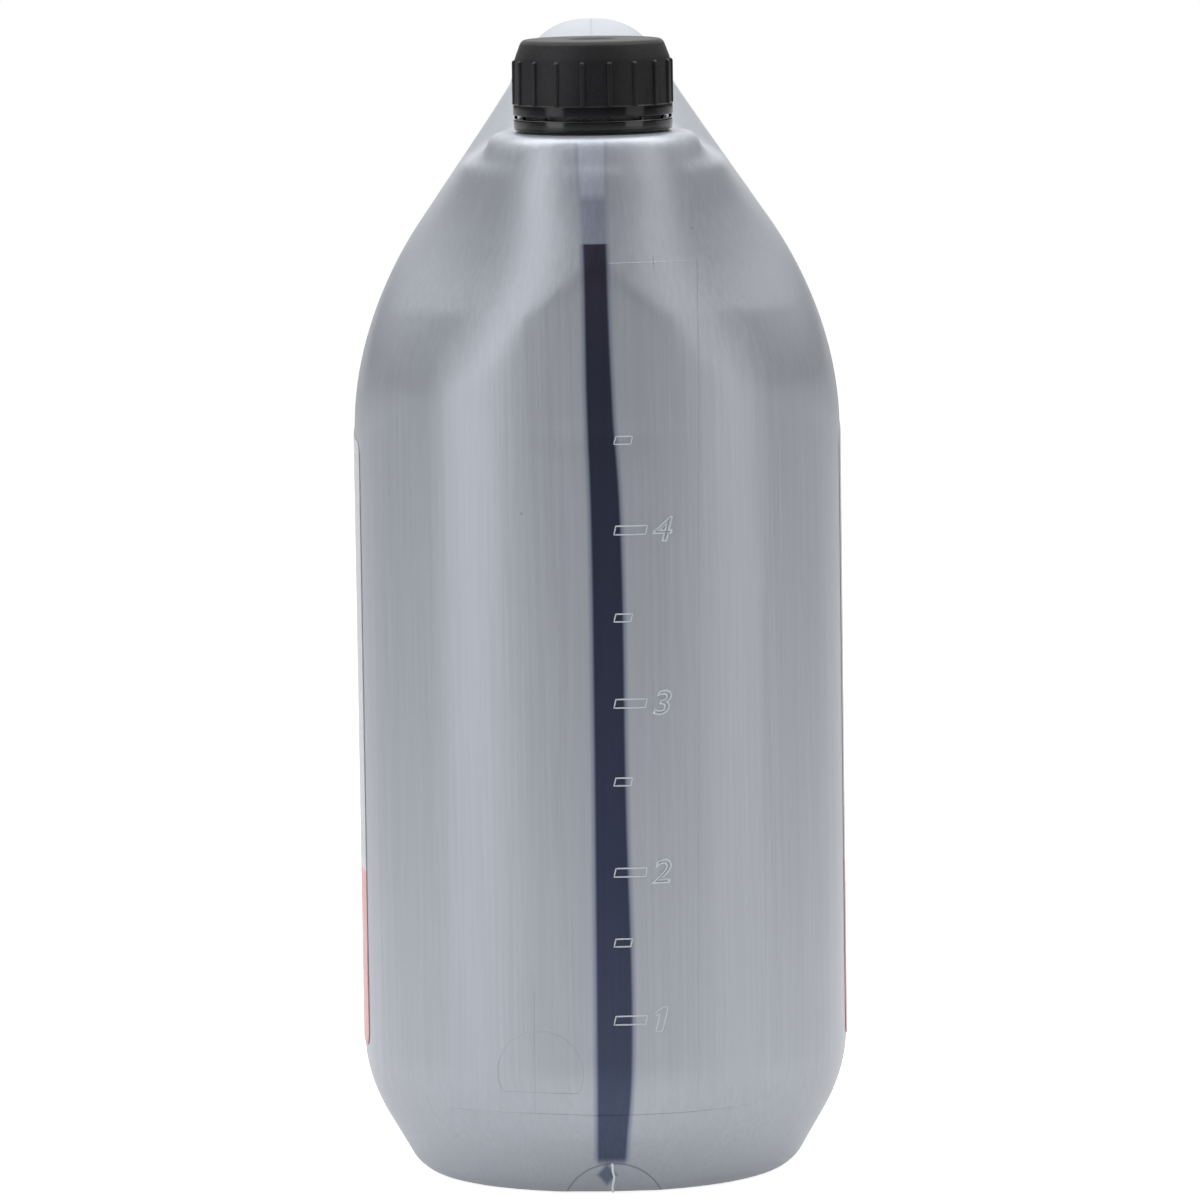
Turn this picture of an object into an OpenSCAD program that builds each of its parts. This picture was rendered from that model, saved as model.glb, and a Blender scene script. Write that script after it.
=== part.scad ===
// Five litre cutting fluid jug: a blown body with a hollow handle and a view stripe on its
// narrow front, a ribbed screw cap, its tamper ring and liner, two side labels and the fluid.
// The narrow front with the neck faces -Y. The origin is on the floor below the body's middle.

/* [Body] */
// Width of the body across its two wide faces
body_w = 132.8; // [129:0.1:136]
// Length of the body from the narrow front to the narrow rear
body_l = 208; // [202:1:214]
// Height of the shelf that the neck stands on
shelf_z = 276.5; // [272:0.5:280]
// Thickness of the blown wall
wall = 1.8; // [1.4:0.1:2.4]
// Depth of the shallow recess in the base
base_recess = 1.2; // [0.8:0.1:2]
// Rounding where the base meets the sides
base_round = 5; // [4:0.5:7]

/* [Handle] */
// Rise of the handle's top above the neck's shelf
handle_rise = 25; // [23:0.5:28]
// Length of the finger opening
grip_l = 84; // [78:1:88]
// Height of the finger opening
grip_h = 48; // [44:1:52]
// Thickness of the handle bar above the finger opening
bar_h = 31; // [28:1:34]

/* [Neck] */
// Outer diameter of the neck tube
neck_d = 35.2; // [34.6:0.1:35.6]
// Diameter of the pouring bore
bore_d = 30.6; // [28:0.2:31]
// Height of the neck above its shelf
neck_h = 21.2; // [20:0.2:22]
// Rise of the screw thread in one turn
thread_pitch = 4.2; // [3.8:0.1:4.6]

/* [Cap] */
// Diameter of the cap over its grip ribs
cap_d = 41.8; // [41.6:0.1:43]
// Number of grip ribs
rib_count = 18; // [12:1:24]
// Height of the grip ribs' raised face
rib_h = 0.5; // [0.4:0.1:0.7]
// Number of bridges on the tamper ring
bridge_count = 14; // [8:1:18]

/* [Fill] */
// Height of the fluid inside, above the floor
fill_z = 250; // [180:1:254]
// Bottom edge of the labels
label_z0 = 34; // [33:1:44]
// Top edge of the labels
label_z1 = 193; // [150:1:193]

/* [Hidden] */
$fn = 96;

handle_z = shelf_z + handle_rise;

// plan of the body: bowed faces joined by slanted facets with soft edges
side_bow_r = 700;
front_bow_r = 68;
rear_bow_r = 90;
front_edge_x = 47;
rear_edge_x = 51;
facet_turn = 54;
front_y = -body_l / 2;
rear_y = body_l / 2;
front_edge_y = front_y + front_bow_r - sqrt(pow(front_bow_r, 2) - pow(front_edge_x, 2));
rear_edge_y = rear_y - rear_bow_r + sqrt(pow(rear_bow_r, 2) - pow(rear_edge_x, 2));
facet_soft = 5;
corner_soft = 9;

// the lower sides draw in towards the base
flare_z = 25.2;
flare_soft = 10;
side_draw = 14;
front_draw = 15.7;
rear_draw = 14;

// the upper body leans in like a roof up to the handle
roof_x = 43.8;
roof_z = shelf_z - 21.8;
roof_turn = 35;
roof_soft = 18.7;
ridge_r = 170;
ridge_y = 17;
ridge_top = handle_z + 1.5;
rear_slope_y = rear_y - 1;
rear_slope_z = shelf_z - 37;
rear_slope_turn = 25;

// the column that carries the neck, blended into the front of the body
neck_y = front_y + 36;
handle_clear = 3;
front_slope_y = neck_y + cap_d / 2 + handle_clear;
front_slope_turn = 52.5;
column_r = 29.8;
column_top_z = shelf_z - 15;
column_shrink = 3.6;
column_foot_z = shelf_z - 76;
column_blend = 20;

// finger opening, wider outside than inside
grip_y = rear_y - 73;
grip_z = handle_z - bar_h - grip_h / 2;
grip_core_x = 14;
grip_square = 0.7;
flare_top = 1.6;
flare_bottom = 0.25;
flare_side = 0.35;

// neck and cap stack
neck_r = neck_d / 2;
bore_r = bore_d / 2;
neck_top_z = shelf_z + neck_h;
fit_gap = 0.3;
thread_h = 1.15;
thread_foot = 2;
thread_tip = 1;
thread_turns = 1.5;
thread_z = shelf_z + 8.6;
thread_steps = 24;
thread_sink = 0.6;
bead_r = neck_r + 1.3;
bead_z = shelf_z + 2.7;
bead_h = 1.4;
cap_r = cap_d / 2;
cap_wall_r = cap_r - rib_h;
cap_inner_r = neck_r + thread_h + fit_gap;
cap_z0 = shelf_z + 4.5;
skirt_h = 2.8;
liner_t = 1;
cap_roof_z = neck_top_z + liner_t;
cap_cone_z = cap_roof_z - 4;
cap_top_z = cap_roof_z + 1.8;
cone_foot_r = cap_wall_r - 0.7;
cone_top_r = cap_wall_r - 1.9;
cap_seat_r = neck_r + fit_gap + 0.1;
rib_w = 1.3;
rib_phase = 2.3;
dish_r = 6;
dish_h = 0.5;
ring_z0 = shelf_z + 0.5;
ring_z1 = cap_z0 - 0.8;
ring_inner_r = bead_r + fit_gap;
hook_r = bead_r - 0.6;
hook_h = 1.6;
bridge_w = 1;
bridge_gap = 0.2;

// labels and fluid
label_t = 0.2;
label_gap = 0.05;
label_y0 = front_y + 50;
label_y1 = rear_y - 30;
fluid_gap = 0.5;

// how finely the shells are divided
outer_sides = 52;
inner_sides = 44;
halvings = 14;

// soft joins of two distances: the larger for a cut, the smaller for a merge
function soft_max(a, b, k) = let (h = max(k - abs(a - b), 0) / k) max(a, b) + h * h * k / 4;
function soft_min(a, b, k) = -soft_max(-a, -b, k);
function clip(v, lo, hi) = min(max(v, lo), hi);

// how far a side has drawn in at height z, with the rounding at the base
function draw_in(z, full) =
    let (t = clip(1 - z / base_round, 0, 1))
    full / flare_z * soft_max(flare_z - z, 0, flare_soft) + base_round * (1 - sqrt(1 - t * t));

// distance past a bowed end face; way is -1 for the front and 1 for the rear
function bow(ax, y, centre_y, r, way) = norm([ax, max(way * (y - centre_y), 0)]) - r;

// distance past a slanted facet that starts at (x0, y0) on the end face
function facet(ax, y, x0, y0, way) =
    (ax - x0) * sin(facet_turn) + way * (y - y0) * cos(facet_turn);

// distance outside the upright body, without its roof
function plan_field(ax, y, z) =
    let (draw = draw_in(z, side_draw),
         side = ax - body_w / 2 + y * y / (2 * side_bow_r) + draw,
         front = front_field(ax, y, z),
         rear = bow(ax, y, rear_y - rear_bow_r, rear_bow_r, 1) + draw_in(z, rear_draw),
         front_facet = facet(ax, y, front_edge_x, front_edge_y, -1) + draw,
         rear_facet = facet(ax, y, rear_edge_x, rear_edge_y, 1) + draw,
         front_half = soft_max(soft_max(front, front_facet, facet_soft), side, corner_soft))
    soft_max(front_half, soft_max(rear, rear_facet, facet_soft), corner_soft);

// distance outside the roof: two flanks, the arched ridge and its slopes front and rear
function roof_field(ax, y, z) =
    let (flank = (ax - roof_x) * cos(roof_turn) + (z - roof_z) * sin(roof_turn),
         ridge = norm([y - ridge_y, z - ridge_top + ridge_r]) - ridge_r,
         rear_slope = (y - rear_slope_y) * cos(rear_slope_turn)
                    + (z - rear_slope_z) * sin(rear_slope_turn),
         arch = soft_max(ridge, rear_slope, 40))
    [flank, arch];

// distance outside the whole body without the column
function body_field(ax, y, z) =
    let (roof = roof_field(ax, y, z),
         front_slope = (front_slope_y - y) * sin(front_slope_turn)
                     + (z - shelf_z) * cos(front_slope_turn),
         under_roof = soft_max(plan_field(ax, y, z), roof[0], roof_soft))
    soft_max(soft_max(under_roof, roof[1], 8), front_slope, 16);

// radius of the column, rounded at its top and spreading towards its foot
function column_radius(z) =
    let (u = clip((z - column_top_z) / (shelf_z - column_top_z), 0, 1))
    column_r - column_shrink * pow(u, 2.2) + 0.0012 * pow(clip(column_top_z + 2 - z, 0, 75), 2)
    - 0.3 * max(column_foot_z - 15 - z, 0);

// distance past the bowed front face
function front_field(ax, y, z) =
    bow(ax, y, front_y + front_bow_r, front_bow_r, -1) + draw_in(z, front_draw);

// distance outside the blown shell; low is true up to the shelf, where the column belongs to it
function shell_field(x, y, z, low) =
    let (body = body_field(abs(x), y, z),
         column = norm([x, y - neck_y]) - column_radius(z),
         blend = 2 + column_blend * clip((z - column_foot_z) / 30, 0, 1))
    low ? max(soft_min(body, column, blend), front_field(abs(x), y, z)) : body;

// reach of the shell from the upright line x = 0, y = mid along direction a, by halving
function reach(a, mid, z, low, inset, lo = 0, hi = 140, n = halvings) =
    n == 0 ? (lo + hi) / 2 :
    let (r = (lo + hi) / 2,
         out = shell_field(r * sin(a), mid - r * cos(a), z, low) + inset > 0)
    reach(a, mid, z, low, inset, out ? lo : r, out ? r : hi, n - 1);

function ring_at(mid, z, low, inset, sides) = [
    for (i = [0 : sides - 1])
        let (a = (i + 0.5) * 360 / sides, r = reach(a, mid, z, low, inset))
        [r * sin(a), mid - r * cos(a), z]
];

// a closed skin over stacked rings of the same number of points
module loft(rings) {
    sides = len(rings[0]);
    count = len(rings);
    walls = [
        for (k = [0 : count - 2], i = [0 : sides - 1])
            let (j = (i + 1) % sides, a = k * sides, b = a + sides)
            each [[a + i, b + j, a + j], [a + i, b + i, b + j]]
    ];
    floor_face = [for (i = [0 : sides - 1]) i];
    roof_face = [for (i = [sides - 1 : -1 : 0]) (count - 1) * sides + i];
    polyhedron(concat([for (ring = rings) each ring]), concat([floor_face], walls, [roof_face]));
}

// where the rings of a shell stand: close together where it curves, below and above the shelf
lower_levels = concat([0, 0.5, 1.5, 3, 5, 11, 17, 21.5, 26, 31, 36, 110, 176, 187],
                      [for (i = [0 : 6]) shelf_z - 83 + i * 7],
                      [for (i = [0 : 6]) shelf_z - 36 + i * 20 / 6],
                      [for (u = [0.25 : 0.25 : 1]) shelf_z - 16 * (1 - pow(u, 0.7))]);
upper_levels = concat([for (i = [0 : 4]) shelf_z + 0.5 + i * 4.2],
                      [for (u = [0.25 : 0.15 : 1]) shelf_z + 17.3 + (handle_z - shelf_z - 17.3) * u]);
middle_y = 10;

// the shell's skin moved inwards by inset, from floor_z up to top_z
module shell(inset, floor_z, top_z, sides) {
    lower = [for (z = lower_levels) if (z > floor_z + 1.2 && z < min(top_z, shelf_z - inset)) z];
    lower_top = min(top_z, shelf_z - inset);
    upper = [for (z = upper_levels) if (z > shelf_z - inset + 0.4 && z < handle_z - inset * 1.3 + 0.1) z];
    loft(concat(
        [for (z = concat([floor_z], lower, [lower_top])) ring_at(middle_y, z, true, inset, sides)],
        top_z > shelf_z ? [for (z = upper) ring_at(middle_y, z, false, inset, sides)] : []));
}

// the finger opening's flare at distance ax from the middle plane
function grip_spread(ax) = soft_max(ax - grip_core_x, 0, 12);

function grip_ring(x, grow) = [
    let (s = grip_spread(abs(x) + grow),
         half_l = grip_l / 2 + grow + s * flare_side,
         up = grip_h / 2 + grow + s * flare_top,
         down = grip_h / 2 + grow + s * flare_bottom)
    for (i = [0 : 27])
        let (a = (i + 0.5) * 360 / 28, c = cos(a), s2 = sin(a))
        [x,
         grip_y + half_l * sign(c) * pow(abs(c), grip_square),
         grip_z + (s2 > 0 ? up : down) * sign(s2) * pow(abs(s2), grip_square)]
];

// the space of the finger opening, made larger by grow for the wall around it
module grip_space(grow) {
    half = [0, 7, 12, 17, 23, 30, 40, 54, 70];
    loft([for (i = [-8 : 8]) grip_ring(sign(i) * half[abs(i)], grow)]);
}

// a flat polygon of the base outline drawn in by inset
module base_outline(inset) {
    polygon([for (p = ring_at(middle_y, 0, true, inset, 32)) [p[0], p[1]]]);
}

// screw thread as a swept trapezium: a rib outside for out = 1, inside a sleeve for out = -1
module thread(r, out, z0) {
    steps = thread_steps * thread_turns;
    foot = r - out * thread_sink;
    rings = [
        for (k = [0 : steps])
            let (a = k * 360 / thread_steps,
                 z = z0 + k * thread_pitch / thread_steps,
                 grow = min(1, min(k, steps - k) / 3 + 0.12),
                 tip = r + out * thread_h * grow)
            [for (p = [[foot, -thread_foot / 2], [tip, -thread_tip / 2], [tip, thread_tip / 2],
                       [foot, thread_foot / 2]])
                [p[0] * cos(a), p[0] * sin(a), z + p[1]]]
    ];
    loft(out < 0 ? rings : [for (ring = rings) [for (i = [3 : -1 : 0]) ring[i]]]);
}

module neck() {
    translate([0, neck_y, 0])
        rotate_extrude()
            polygon([[0, shelf_z - 4], [neck_r, shelf_z - 4], [neck_r, bead_z - 0.8],
                     [bead_r, bead_z], [bead_r, bead_z + bead_h * 0.4], [neck_r, bead_z + bead_h],
                     [neck_r, neck_top_z - 0.5], [neck_r - 0.5, neck_top_z], [0, neck_top_z]]);
    translate([0, neck_y, 0])
        thread(neck_r, 1, thread_z);
}

module bottle() {
    color([0.66, 0.68, 0.71])
        difference() {
            union() {
                difference() {
                    shell(0, 0, handle_z, outer_sides);
                    grip_space(0);
                }
                neck();
            }
            difference() {
                shell(wall, wall + base_recess, handle_z, inner_sides);
                grip_space(wall);
            }
            translate([0, neck_y, shelf_z - 8])
                cylinder(r = bore_r, h = neck_h + 20);
            translate([0, 0, -1])
                linear_extrude(base_recess + 1)
                    base_outline(12);
        }
}

module screw_cap() {
    color([0.12, 0.12, 0.13])
        translate([0, neck_y, 0]) {
            difference() {
                union() {
                    rotate_extrude()
                        polygon([[0, cap_z0], [cap_r - 0.3, cap_z0], [cap_r, cap_z0 + 0.3],
                                 [cap_r, cap_z0 + skirt_h - 0.3], [cap_wall_r, cap_z0 + skirt_h],
                                 [cap_wall_r, cap_cone_z], [cone_foot_r, cap_cone_z + 0.4],
                                 [cone_top_r, cap_top_z - 0.8], [cone_top_r - 1, cap_top_z],
                                 [dish_r + 1, cap_top_z], [dish_r, cap_top_z - dish_h],
                                 [0, cap_top_z - dish_h]]);
                    for (i = [0 : rib_count - 1])
                        rotate(i * 360 / rib_count + rib_phase)
                            translate([cap_wall_r - 1, -rib_w / 2, cap_z0 + skirt_h / 2])
                                cube([rib_h + 0.95, rib_w, cap_cone_z - cap_z0 - skirt_h / 2]);
                }
                translate([0, 0, cap_z0 - 1])
                    cylinder(r = cap_inner_r, h = cap_cone_z - cap_z0 + 0.6);
                translate([0, 0, cap_cone_z - 1])
                    cylinder(r = cap_seat_r, h = cap_roof_z - cap_cone_z + 1);
            }
            thread(cap_inner_r, -1, thread_z - thread_pitch / 2);
        }
}

module cap_liner() {
    color([0.92, 0.92, 0.9])
        translate([0, neck_y, neck_top_z])
            cylinder(r = cap_seat_r - 0.1, h = liner_t);
}

module tamper_ring() {
    color([0.1, 0.1, 0.11])
        translate([0, neck_y, 0]) {
            rotate_extrude()
                polygon([[hook_r, ring_z0 + 0.4], [hook_r + 0.4, ring_z0], [cap_r - 0.6, ring_z0],
                         [cap_r - 0.2, ring_z1 - 0.4], [cap_r - 0.6, ring_z1],
                         [ring_inner_r, ring_z1], [ring_inner_r, ring_z0 + hook_h],
                         [hook_r, ring_z0 + hook_h - 0.5]]);
            for (i = [0 : bridge_count - 1])
                rotate(i * 360 / bridge_count)
                    translate([ring_inner_r + 0.3, -bridge_w / 2, ring_z1 - 0.5])
                        cube([0.8, bridge_w, cap_z0 - bridge_gap - ring_z1 + 0.5]);
        }
}

// a thin sheet wrapped on the upright wide face; way is 1 for the right face and -1 for the left
module label(way) {
    centre = [0, middle_y];
    edge = [for (p = ring_at(middle_y, (label_z0 + label_z1) / 2, true, 0, outer_sides))
        if (p[0] * way > 0 && p[1] > label_y0 && p[1] < label_y1) [p[0], p[1]] - centre];
    sheet = function(off) [for (p = edge) centre + p * (1 + off / norm(p))];
    inner = sheet(label_gap);
    outer = sheet(label_gap + label_t);
    translate([0, 0, label_z0])
        linear_extrude(label_z1 - label_z0)
            polygon(concat(outer, [for (i = [len(inner) - 1 : -1 : 0]) inner[i]]));
}

module left_label() {
    color([0.86, 0.72, 0.72])
        label(-1);
}

module right_label() {
    color([0.86, 0.72, 0.72])
        label(1);
}

module cutting_fluid() {
    inset = wall + fluid_gap;
    color([0.15, 0.17, 0.27])
        difference() {
            shell(inset, inset + base_recess, fill_z, inner_sides);
            grip_space(inset);
        }
}

bottle();
screw_cap();
cap_liner();
tamper_ring();
left_label();
right_label();
cutting_fluid();
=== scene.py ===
"""Cutting fluid jug: the visual pieces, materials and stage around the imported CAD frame."""

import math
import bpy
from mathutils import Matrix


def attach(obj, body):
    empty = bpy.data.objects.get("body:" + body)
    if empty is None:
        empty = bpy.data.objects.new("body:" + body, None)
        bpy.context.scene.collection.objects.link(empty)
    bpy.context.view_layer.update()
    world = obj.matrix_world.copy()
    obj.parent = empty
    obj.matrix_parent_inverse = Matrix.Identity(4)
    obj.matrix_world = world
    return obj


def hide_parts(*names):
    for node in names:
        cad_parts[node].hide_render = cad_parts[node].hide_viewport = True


bl_info = {
    "name": "Cutting fluid jug",
    "version": (1, 0, 0),
    "blender": (4, 5, 0),
    "location": "View3D > Sidebar > Jug",
    "description": "Builds the blown jug, its cap, ring, labels, litre scale and studio stage",
    "category": "Object",
}

import bpy
import numpy as np
from bpy.props import FloatProperty, FloatVectorProperty, IntProperty, PointerProperty
from mathutils import Matrix, Vector

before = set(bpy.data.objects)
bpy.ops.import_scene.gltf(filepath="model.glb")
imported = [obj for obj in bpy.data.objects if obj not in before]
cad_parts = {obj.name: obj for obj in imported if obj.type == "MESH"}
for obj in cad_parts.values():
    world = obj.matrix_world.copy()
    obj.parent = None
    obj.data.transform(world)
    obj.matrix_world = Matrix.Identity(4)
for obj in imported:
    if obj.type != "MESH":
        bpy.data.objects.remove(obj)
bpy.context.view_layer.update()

MM = 0.001

# places that the CAD source gives, in millimetres
BODY_W = 132.8
BODY_L = 208.0
SHELF_Z = 276.5
HANDLE_Z = SHELF_Z + 25
FRONT_Y = -BODY_L / 2
REAR_Y = BODY_L / 2
NECK_Y = FRONT_Y + 36
NECK_R = 17.6
BORE_R = 15.3
NECK_TOP_Z = SHELF_Z + 21.2
CAP_R = 20.9
CAP_WALL_R = CAP_R - 0.5
CAP_Z0 = SHELF_Z + 4.5
CAP_TOP_Z = NECK_TOP_Z + 2.8
GRIP_Y = REAR_Y - 73
GRIP_HALF_L = 42.0
GRIP_HALF_H = 24.0
GRIP_Z = HANDLE_Z - 31 - GRIP_HALF_H
GRIP_CORNER = 0.7
FILL_Z = 250.0
MIDDLE_Y = 10.0
THREAD_PITCH = 4.2
THREAD_TURNS = 1.5
CAP_INNER_R = NECK_R + 1.45
LABEL_REAR_Y = REAR_Y - 31
LABEL_Z0, LABEL_Z1 = 34.5, 195.0

# the plan's bowed ends and slanted facets, and how far the sides draw in at the base
FRONT_BOW_R = 68.0
REAR_BOW_R = 90.0
SIDE_BOW = 1400.0
FRONT_FACET_X = 47.0
REAR_FACET_X = 51.0
FACET_TURN = 54.0
FRONT_DRAW = 15.7
SIDE_DRAW = 14.0


# the blown wall as a field: each *_field gives millimetres outside its surface

def soft_max(a, b, k):
    """The larger of a and b, blended over the width k where they meet."""
    h = np.maximum(k - np.abs(a - b), 0) / k
    return np.maximum(a, b) + h * h * k / 4


def soft_min(a, b, k):
    return -soft_max(-a, -b, k)


def turn(degrees):
    """Cosine and sine of an angle in degrees."""
    return math.cos(math.radians(degrees)), math.sin(math.radians(degrees))


def draw_in(z, full):
    """How far a side has drawn in at height z, with the rounding at the base."""
    flare_z, base_round = 25.2, 5.0
    t = np.clip(1 - z / base_round, 0, 1)
    return full / flare_z * soft_max(flare_z - z, 0 * z, 10) + base_round * (1 - np.sqrt(1 - t * t))


def bow(ax, y, centre_y, r, way):
    """Distance outside a round end that bows towards +Y or, with way -1, towards -Y."""
    return np.hypot(ax, np.maximum(way * (y - centre_y), 0)) - r


def front_field(ax, y, z):
    return bow(ax, y, FRONT_Y + FRONT_BOW_R, FRONT_BOW_R, -1) + draw_in(z, FRONT_DRAW)


def plan_field(ax, y, z):
    """Distance outside the upright body, without its roof."""
    c, s = turn(FACET_TURN)
    draw = draw_in(z, SIDE_DRAW)
    front_edge = FRONT_Y + FRONT_BOW_R - math.sqrt(FRONT_BOW_R**2 - FRONT_FACET_X**2)
    rear_edge = REAR_Y - REAR_BOW_R + math.sqrt(REAR_BOW_R**2 - REAR_FACET_X**2)
    side = ax - BODY_W / 2 + y * y / SIDE_BOW + draw
    rear = bow(ax, y, REAR_Y - REAR_BOW_R, REAR_BOW_R, 1) + draw
    front_facet = (ax - FRONT_FACET_X) * s - (y - front_edge) * c + draw
    rear_facet = (ax - REAR_FACET_X) * s + (y - rear_edge) * c + draw
    half = soft_max(soft_max(front_field(ax, y, z), front_facet, 2.5), side, 9)
    return soft_max(half, soft_max(rear, rear_facet, 5), 9)


def body_field(ax, y, z):
    """Distance outside the body with its roof, ridge and slopes, without the column."""
    flank_lean, rear_lean, front_lean, outward = 35, 25, 52.5, 35
    ridge_r = 170
    c, s = turn(flank_lean)
    flank = (ax - 43.8) * c + (z - SHELF_Z + 21.8) * s
    ridge = np.hypot(y - 17, z - HANDLE_Z - 1.5 + ridge_r) - ridge_r
    c, s = turn(rear_lean)
    rear_slope = (y - REAR_Y + 1) * c + (z - SHELF_Z + 37) * s
    c, s = turn(front_lean)
    side_c, side_s = turn(outward)
    back = (ax - 36) * side_s + (NECK_Y + CAP_R + 3 - y) * side_c
    front_slope = back * s + (z - SHELF_Z) * c
    under_roof = soft_max(plan_field(ax, y, z), flank, 18.7)
    arch = soft_max(soft_max(ridge, rear_slope, 40), z - HANDLE_Z, 1.5)
    return soft_max(soft_max(under_roof, arch, 8), front_slope, 16)


def column_field(x, y, z):
    """Distance outside the column that carries the neck, with its rounded shelf."""
    column_r, shoulder_h, shoulder_in = 29.8, 15, 3.6
    u = np.clip((z - SHELF_Z + shoulder_h) / shoulder_h, 0, 1)
    flare = 0.0012 * np.clip(SHELF_Z - 13 - z, 0, 75) ** 2
    radius = column_r - shoulder_in * u**2.2 + flare
    spread = 1 + 0.6 * np.clip((SHELF_Z - 31 - z) / 42, 0, 1) ** 2
    return soft_max(np.hypot(x / spread, y - NECK_Y) - radius, z - SHELF_Z, 2.4)


def outer_field(x, y, z):
    """Distance outside the blown skin, before its openings are cut."""
    ax = np.abs(x)
    body = body_field(ax, y, z)
    blend = 2 + 20 * np.clip((z - SHELF_Z + 76) / 30, 0, 1) * np.clip((SHELF_Z - z) / 9, 0.1, 1)
    joined = soft_min(body, column_field(x, y, z), blend)
    below = soft_max(joined, plan_field(ax, y, z), 0.5)
    return np.where(z <= SHELF_Z, below, joined)


def grip_half(ax):
    """Half length, rise and drop of the flared finger opening at distance ax from the middle."""
    spread = soft_max(ax - 14, 0 * ax, 12)
    return (GRIP_HALF_L + spread * 0.35, GRIP_HALF_H + spread * 1.6,
            GRIP_HALF_H + spread * 0.25)


def grip_field(x, y, z):
    half_l, up, down = grip_half(np.abs(x))
    dz = z - GRIP_Z
    power = 2 / GRIP_CORNER
    g = np.abs((y - GRIP_Y) / half_l) ** power + np.abs(dz / np.where(dz > 0, up, down)) ** power
    return (g ** (1 / power) - 1) * 28


def notch_field(x, y, z, way):
    """Distance to the tilted round notch under the pinched seam, at the front or rear."""
    c, s = turn(80)
    dy, dz = way * y - FRONT_Y - 10, z + 8
    along = -dy * s + dz * c
    side = np.sqrt(np.maximum(x * x + dy * dy + dz * dz - along * along, 0))
    return side - 14


def jug_field(x, y, z):
    """Distance outside the whole jug body with finger opening, mouth, notches and base recess."""
    f = outer_field(x, y, z)
    f = soft_max(f, -grip_field(x, y, z), 7)
    for way in (1, -1):
        f = np.maximum(f, soft_min(-notch_field(x, y, z, way), f + 0.7, 0.5))
    well = np.maximum(np.hypot(x, y - NECK_Y) - BORE_R, FILL_Z - 0.4 - z)
    f = np.maximum(f, -well)
    f = soft_max(f, -z, 1.2)
    recess = np.maximum(plan_field(np.abs(x), y, 0 * z) + 12, z - 1.2)
    return soft_max(f, -recess, 1.0)


def project(points, field, steps):
    """Moves points along the field's slope until they lie on its surface."""
    p = points.astype(np.float64).copy()
    e = 0.05
    for _ in range(steps):
        f = field(*p.T)
        grad = np.stack([field(*(p + e * axis).T) - f for axis in np.eye(3)], axis=1) / e
        size = np.maximum((grad**2).sum(axis=1), 0.05)
        step = np.clip(f / size, -3, 3)
        p -= step[:, None] * grad
    return p


def find_skin(inside, outside, is_out, steps):
    """Halves the way between places inside the skin and places outside it, until they meet."""
    for _ in range(steps):
        middle = (inside + outside) / 2
        out = is_out(middle)
        inside, outside = np.where(out, inside, middle), np.where(out, middle, outside)
    return inside, outside


def reach(angle, z):
    """How far the skin is from the body's middle line in a direction, at height z."""
    start = np.zeros(np.broadcast(angle, z).shape)

    def is_out(r):
        return outer_field(r * np.sin(angle), MIDDLE_Y - r * np.cos(angle), z + 0 * r) > 0

    inside, outside = find_skin(start, start + 140, is_out, 18)
    return (inside + outside) / 2


def front_skin(x, z):
    """The y of the narrow front at (x, z)."""
    x, z = np.broadcast_arrays(np.asarray(x, float), np.asarray(z, float))
    inside, outside = find_skin(np.full(x.shape, -55.0), np.full(x.shape, FRONT_Y - 8),
                                lambda y: outer_field(x, y, z) > 0, 26)
    return (inside + outside) / 2


# modelling helpers

def deselect():
    bpy.ops.object.select_all(action="DESELECT")


def pick(obj):
    """Makes obj the only selected and the active object."""
    deselect()
    obj.select_set(True)
    bpy.context.view_layer.objects.active = obj


def in_edit(obj, *steps):
    """Runs edit-mode steps on the whole mesh of obj."""
    pick(obj)
    bpy.ops.object.mode_set(mode="EDIT")
    bpy.ops.mesh.select_all(action="SELECT")
    for step in steps:
        step()
    bpy.ops.object.mode_set(mode="OBJECT")


def apply_modifiers(obj):
    pick(obj)
    for modifier in list(obj.modifiers):
        bpy.ops.object.modifier_apply(modifier=modifier.name)


def points_of(obj):
    co = np.zeros(len(obj.data.vertices) * 3)
    obj.data.vertices.foreach_get("co", co)
    return co.reshape(-1, 3) / MM


def set_points(obj, points):
    obj.data.vertices.foreach_set("co", (np.asarray(points) * MM).ravel())
    obj.data.update()


def close_up():
    bpy.ops.mesh.remove_doubles(threshold=0.00001)
    bpy.ops.mesh.select_all(action="SELECT")
    bpy.ops.mesh.fill_holes(sides=0)
    bpy.ops.mesh.select_all(action="SELECT")
    bpy.ops.mesh.normals_make_consistent(inside=False)


def wrap_grid(name, rows, closed=True):
    """A grid laid over rows of points, given in millimetres as an array of (rows, columns, 3)."""
    rows = np.asarray(rows, float)
    if closed:
        rows = np.concatenate([rows, rows[:, :1]], axis=1)
    count, width = rows.shape[:2]
    deselect()
    bpy.ops.mesh.primitive_grid_add(x_subdivisions=width - 1, y_subdivisions=count - 1, size=1)
    obj = bpy.context.active_object
    obj.name = obj.data.name = name
    flat = points_of(obj)
    order = np.lexsort((flat[:, 0].round(4), flat[:, 1].round(4)))
    placed = np.zeros_like(flat)
    placed[order] = rows.reshape(-1, 3)
    set_points(obj, placed)
    if closed:
        in_edit(obj, close_up)
    return obj


def revolve(name, profile, steps):
    """A closed profile of (radius, height) points turned about the neck's axis."""
    profile = np.asarray(profile + profile[:1], float)
    a = np.arange(steps) * 2 * math.pi / steps
    r, z = profile[:, :1], profile[:, 1:]
    rows = np.stack([r * np.cos(a), NECK_Y + r * np.sin(a), z + 0 * a], axis=-1)
    return wrap_grid(name, rows)


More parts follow.
